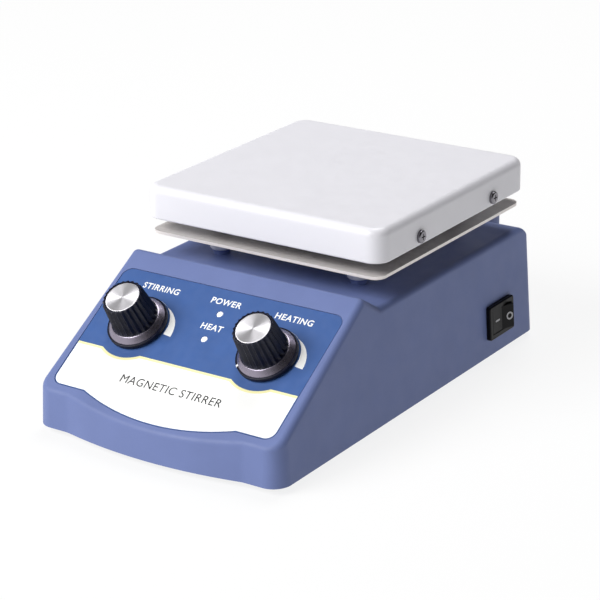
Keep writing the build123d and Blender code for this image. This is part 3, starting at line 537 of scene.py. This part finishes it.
def knob_scale(name, x):
    """Crescent that widens clockwise round a knob, from before the top to past the right."""
    inner, outer = [], []
    steps = 40
    for i in range(steps + 1):
        turn = math.radians(SCALE_START + (SCALE_END - SCALE_START) * i / steps)
        direction = Vector((math.sin(turn), math.cos(turn)))
        shift = Vector(SCALE_SHIFT)
        along = direction.dot(shift)
        reach = along + math.sqrt(along * along - shift.length_squared + SCALE_RADIUS ** 2)
        reach = max(reach, SCALE_RADIUS + 0.05)
        inner.append((x + direction.x * SCALE_RADIUS, direction.y * SCALE_RADIUS))
        outer.append((x + direction.x * reach, direction.y * reach))
    print_piece(name, [outer + list(reversed(inner))], PRINT_WHITE)


def word(text, x, s, size, finish, bold=0.08, spacing=1.09):
    """Raised ink lettering, centred on a point of the panel."""
    curve = bpy.data.curves.new("word", "FONT")
    curve.body = text
    curve.size = size * MM
    curve.align_x = "CENTER"
    curve.align_y = "CENTER"
    curve.offset = bold * MM
    curve.space_character = spacing
    curve.extrude = PRINT_THICK * MM / 2
    curve.resolution_u = 4
    source = bpy.data.objects.new("word", curve)
    mesh = bpy.data.meshes.new_from_object(source)
    bpy.data.objects.remove(source)
    name = "print_" + text.lower().replace(" ", "_")
    piece = bpy.data.objects.new(name, mesh)
    bpy.context.scene.collection.objects.link(piece)
    lift = SHEET_TOP + (DARK_INK_LIFT if finish is PRINT_DARK else WHITE_INK_LIFT) * PRINT_THICK
    piece.matrix_world = PANEL @ Matrix.Translation(Vector((x, s, lift)) * MM)
    mesh.materials.clear()
    mesh.materials.append(finish.material)
    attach(piece, "casing")


def printed_overlay():
    print_piece("print_white_area", [scalloped_line(LINE_WIDTH / 2) + lower_border()], PRINT_WHITE)
    line = scalloped_line(-LINE_WIDTH / 2) + list(reversed(scalloped_line(LINE_WIDTH / 2)))
    print_piece("print_yellow_line", [line], PRINT_YELLOW)
    knob_scale("print_stir_scale", -KNOB_X)
    knob_scale("print_heat_scale", KNOB_X)
    for text, x, s in WORDS:
        word(text, x, s, WORD_HEIGHT, PRINT_WHITE)
    word(TITLE, 0.0, TITLE_S, TITLE_HEIGHT, PRINT_DARK, 0.0, 1.06)


# ---- knobs --------------------------------------------------------------------------------------
def knob_profile():
    """Radius, height, flute depth and material index of each ring, from the panel up."""
    rings = [
        (SKIRT_RADIUS - 2.0, KNOB_BASE, 0.0, 0),
        (SKIRT_RADIUS - 0.25, KNOB_BASE, 0.0, 0),
        (SKIRT_RADIUS, 0.7, 0.0, 0),
        (SKIRT_RADIUS, SKIRT_TOP - 0.25, 0.0, 0),
        (SKIRT_RADIUS - 0.1, SKIRT_TOP - 0.05, 0.0, 0),
        (SKIRT_RADIUS - 0.3, SKIRT_TOP, 0.0, 0),
        (SKIRT_RADIUS - 0.75, SKIRT_TOP + 0.02, 0.0, 0),
        (SKIRT_RADIUS - 0.85, SKIRT_TOP + 0.12, 0.0, 1),
        (CONE_RADIUS + 0.4, CONE_TOP - 0.25, 0.0, 1),
        (CONE_RADIUS, CONE_TOP, 0.0, 1),
        (GRIP_BASE + 0.1, CONE_TOP + 0.1, 0.0, 0),
        (GRIP_BASE, CONE_TOP + 0.4, 0.35, 0),
        (GRIP_BASE - 0.05, CONE_TOP + 1.0, FLUTE_DEPTH, 0),
    ]
    for i in range(1, GRIP_STEPS + 1):
        part = i / GRIP_STEPS
        height = CONE_TOP + 1.0 + (KNOB_HEIGHT - CONE_TOP - 1.8) * part
        rings.append((GRIP_BASE + (GRIP_TOP - GRIP_BASE) * part, height, FLUTE_DEPTH, 0))
    rings += [
        (GRIP_TOP - 0.1, KNOB_HEIGHT - 0.35, 0.75, 0),
        (GRIP_TOP - 0.4, KNOB_HEIGHT - 0.08, 0.45, 0),
        (GRIP_TOP - 0.8, KNOB_HEIGHT, 0.1, 0),
        (CAP_RADIUS + 0.15, KNOB_HEIGHT, 0.0, 0),
        (CAP_RADIUS + 0.05, KNOB_HEIGHT - 0.1, 0.0, 0),
        (CAP_RADIUS + 0.05, KNOB_HEIGHT - 1.2, 0.0, 0),
    ]
    return rings


def flute(turn):
    """0 on a rib to 1 in a groove; the ribs are narrow and round."""
    wave = 0.5 - 0.5 * math.cos(turn * FLUTES)
    return wave ** 0.7


def closed_ring(bm, radius, height, depth):
    count = FLUTES * STEPS_PER_FLUTE
    ring = []
    for i in range(count):
        turn = 2 * math.pi * i / count
        reach = radius - depth * flute(turn)
        ring.append(bm.verts.new((reach * math.cos(turn), reach * math.sin(turn), height)))
    return ring


def bridge(bm, lower, upper, index=0):
    count = len(lower)
    for i in range(count):
        j = (i + 1) % count
        face = bm.faces.new((lower[i], lower[j], upper[j], upper[i]))
        face.material_index = index


def knob(name, pivot, body, node):
    """Fluted grip on a coned skirt, hollow from below."""
    bm = bmesh.new()
    profile = knob_profile()
    rings = [closed_ring(bm, radius, height, depth) for radius, height, depth, _ in profile]
    for i in range(len(rings) - 1):
        bridge(bm, rings[i], rings[i + 1], profile[i + 1][3] if profile[i][3] else 0)
    bm.faces.new(rings[-1])
    inside = [closed_ring(bm, SOCKET_RADIUS, z, 0.0) for z in (KNOB_BASE, SOCKET_TOP)]
    bridge(bm, inside[0], rings[0])
    bridge(bm, inside[1], inside[0])
    bm.faces.new(inside[1])
    finishes = [SLOTS["knob_black"], SKIRT_GREY]
    piece = add_mesh(name, bm, finishes, panel_matrix(pivot), body, 35)
    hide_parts(node)


def knob_cap(name, pivot, body, node):
    """Slightly dished metal disc with a polished chamfer."""
    bm = bmesh.new()
    profile = [
        (CAP_RADIUS, CAP_HEIGHT - 0.7),
        (CAP_RADIUS, CAP_HEIGHT - 0.05),
        (CAP_RADIUS - 0.12, CAP_HEIGHT + 0.08),
        (CAP_RADIUS - 0.3, CAP_HEIGHT + 0.12),
    ]
    for radius in (7.0, 6, 5, 4, 3, 2, 1, 0.4):
        profile.append((radius, CAP_HEIGHT + 0.12 - 0.1 * (1 - (radius / 7.0) ** 2)))
    rings = [closed_ring(bm, radius, height, 0.0) for radius, height in profile]
    for lower, upper in zip(rings, rings[1:]):
        bridge(bm, lower, upper)
    bm.faces.new(rings[-1])
    bm.faces.new(rings[0])
    piece = add_mesh(name, bm, [SLOTS["turned_aluminium"]], panel_matrix(pivot), body,
                     50)
    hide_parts(node)


def pointer(name, pivot, turn, body, node):
    """White line across the skirt's rim; turn is counter-clockwise from straight up the panel."""
    bm = bmesh.new()
    path = [
        (SKIRT_RADIUS - 2.1, SKIRT_TOP + 0.82),
        (SKIRT_RADIUS - 0.85, SKIRT_TOP + 0.14),
        (SKIRT_RADIUS - 0.3, SKIRT_TOP + 0.02),
        (SKIRT_RADIUS, SKIRT_TOP - 0.25),
        (SKIRT_RADIUS, 0.9),
    ]

    def moved_path(step):
        return [[bm.verts.new((side * POINTER_HALF, radius + step, height + step))
                 for side in (-1, 1)] for radius, height in path]

    outer = moved_path(POINTER_LIFT)
    inner = moved_path(-POINTER_DEPTH)
    for i in range(len(path) - 1):
        bm.faces.new((outer[i][0], outer[i][1], outer[i + 1][1], outer[i + 1][0]))
        bm.faces.new((inner[i][0], inner[i][1], inner[i + 1][1], inner[i + 1][0]))
        for side in (0, 1):
            bm.faces.new((outer[i][side], outer[i + 1][side], inner[i + 1][side], inner[i][side]))
    for end in (0, -1):
        bm.faces.new((outer[end][0], outer[end][1], inner[end][1], inner[end][0]))
    matrix = panel_matrix(pivot) @ Matrix.Rotation(math.radians(turn), 4, "Z")
    piece = add_mesh(name, bm, [SLOTS["white_mark"]], matrix, body)
    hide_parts(node)


def control_knobs():
    controls = (("stir", STIR_PIVOT, STIR_POINTER), ("heat", HEAT_PIVOT, HEAT_POINTER))
    for side, pivot, turn in controls:
        body = side + "_control"
        knob(side + "_knob_grip", pivot, body, side + "_knob")
        knob_cap(side + "_cap_disc", pivot, body, side + "_knob_cap")
        pointer(side + "_pointer_line", pivot, turn, body, side + "_knob_pointer")


# ---- rocker switch marks ------------------------------------------------------------------------
def rocker_matrix():
    """Local X to the rear and Y up the rocker, Z out of the side wall, from the rocker's pivot."""
    joint = JOINTS["switch_rock"]
    up = Vector(joint["axis"]).normalized()
    rear = Vector((0, 1, 0))
    out = rear.cross(up)
    axes = Matrix((rear, up, out)).transposed()
    return Matrix.Translation(Vector(joint["pos_m"])) @ axes.to_4x4()


def switch_marks():
    """Bar on the pressed half of the rocker, ring on the raised half."""
    out = Vector((0, 0, ROCKER_PIVOT_DEPTH + ROCKER_FACE)) * MM
    face = rocker_matrix() @ Matrix.Translation(out)
    rise = Matrix.Rotation(-math.radians(ROCKER_RISE), 4, "Y")
    start, end = BAR_ENDS
    bar = [[(start, -BAR_HALF), (end, -BAR_HALF), (end, BAR_HALF), (start, BAR_HALF)]]
    ring = [arc((RING_X, 0), radius, 0, RING_END, RING_STEPS) for radius in RING_RADII]
    for name, loops, matrix in (
        ("switch_mark_on", bar, face),
        ("switch_mark_off", ring, face @ rise),
    ):
        flat_piece(name, loops, 0.0, MARK_THICK, SWITCH_INK, matrix, "rocker")


# ---- stage --------------------------------------------------------------------------------------
def floor():
    bm = bmesh.new()
    bmesh.ops.create_grid(bm, x_segments=1, y_segments=1, size=FLOOR_HALF)
    mesh = bpy.data.meshes.new("floor")
    bm.to_mesh(mesh)
    bm.free()
    ground = bpy.data.objects.new("floor", mesh)
    bpy.context.scene.collection.objects.link(ground)
    paint = Finish("floor_paint", (FLOOR_GREY, FLOOR_GREY, FLOOR_GREY, 1.0), 0.6)
    paint.shader.inputs["Emission Color"].default_value = (1.0, 1.0, 1.0, 1.0)
    paint.shader.inputs["Emission Strength"].default_value = FLOOR_GLOW
    paint.shader.inputs["Specular IOR Level"].default_value = 0.0
    mesh.materials.append(paint.material)


def area_light(name, place, size, power):
    light = bpy.data.lights.new(name, "AREA")
    light.shape = "RECTANGLE"
    light.size, light.size_y = size
    light.energy = power
    lamp = bpy.data.objects.new(name, light)
    bpy.context.scene.collection.objects.link(lamp)
    lamp.location = place
    lamp.rotation_euler = (LIGHT_AIM - Vector(place)).to_track_quat("-Z", "Y").to_euler()


def ramp(tree, value, start, end, low, high):
    """Map a value between start and end onto low to high, clamped."""
    node = tree.nodes.new("ShaderNodeMapRange")
    node.inputs["From Min"].default_value = start
    node.inputs["From Max"].default_value = end
    node.inputs["To Min"].default_value = low
    node.inputs["To Max"].default_value = high
    tree.links.new(value, node.inputs["Value"])
    return node.outputs["Result"]


def combine(tree, operation, first, second):
    node = tree.nodes.new("ShaderNodeMath")
    node.operation = operation
    tree.links.new(first, node.inputs[0])
    tree.links.new(second, node.inputs[1])
    return node.outputs["Value"]


def studio():
    """White room: soft fill from the front left, and a pale band round the horizon."""
    world = bpy.data.worlds.new("studio")
    bpy.context.scene.world = world
    world.use_nodes = True
    tree = world.node_tree
    place = tree.nodes.new("ShaderNodeTexCoord").outputs["Generated"]
    turned = tree.nodes.new("ShaderNodeMapping")
    turned.inputs["Rotation"].default_value = (0, 0, math.radians(FILL_AZIMUTH))
    tree.links.new(place, turned.inputs["Vector"])
    facing = tree.nodes.new("ShaderNodeSeparateXYZ")
    tree.links.new(turned.outputs["Vector"], facing.inputs["Vector"])
    fill = ramp(tree, facing.outputs["Y"], 0.0, -1.0, 0.0, FILL_STRENGTH)
    axes = tree.nodes.new("ShaderNodeSeparateXYZ")
    tree.links.new(place, axes.inputs["Vector"])
    side = ramp(tree, axes.outputs["X"], *BAND_SIDES, BAND_LEFT, BAND_RIGHT)
    height = ramp(tree, axes.outputs["Z"], *BAND_HEIGHTS, 1.0, 0.0)
    band = combine(tree, "MULTIPLY", side, height)
    background = tree.nodes["Background"]
    background.inputs["Color"].default_value = (1.0, 1.0, 1.0, 1.0)
    tree.links.new(combine(tree, "ADD", fill, band), background.inputs["Strength"])


def lights():
    studio()
    area_light("key", KEY_PLACE, KEY_SIZE, KEY_POWER)
    area_light("top", TOP_PLACE, TOP_SIZE, TOP_POWER)


def camera():
    azimuth, elevation, roll = (math.radians(a) for a in
                                (CAMERA_AZIMUTH, CAMERA_ELEVATION, CAMERA_ROLL))
    back = Vector((math.sin(azimuth) * math.cos(elevation),
                   -math.cos(azimuth) * math.cos(elevation), math.sin(elevation)))
    level = Vector((math.cos(azimuth), math.sin(azimuth), 0))
    up = back.cross(level)
    right = level * math.cos(roll) + up * math.sin(roll)
    up = up * math.cos(roll) - level * math.sin(roll)
    lens = bpy.data.cameras.new("camera")
    lens.lens = CAMERA_LENS
    lens.sensor_width = SENSOR_WIDTH
    lens.clip_start = CLIP_START
    eye = bpy.data.objects.new("camera", lens)
    bpy.context.scene.collection.objects.link(eye)
    axes = Matrix((right, up, back)).transposed().to_4x4()
    eye.matrix_world = Matrix.Translation(CAMERA_TARGET + back * CAMERA_DISTANCE) @ axes
    bpy.context.scene.camera = eye


def picture_look():
    """Plain screen colours, with no film curve."""
    settings = bpy.context.scene.view_settings
    settings.view_transform = "Standard"
    settings.look = "None"


paint_frame()
printed_overlay()
control_knobs()
switch_marks()
floor()
lights()
camera()
picture_look()
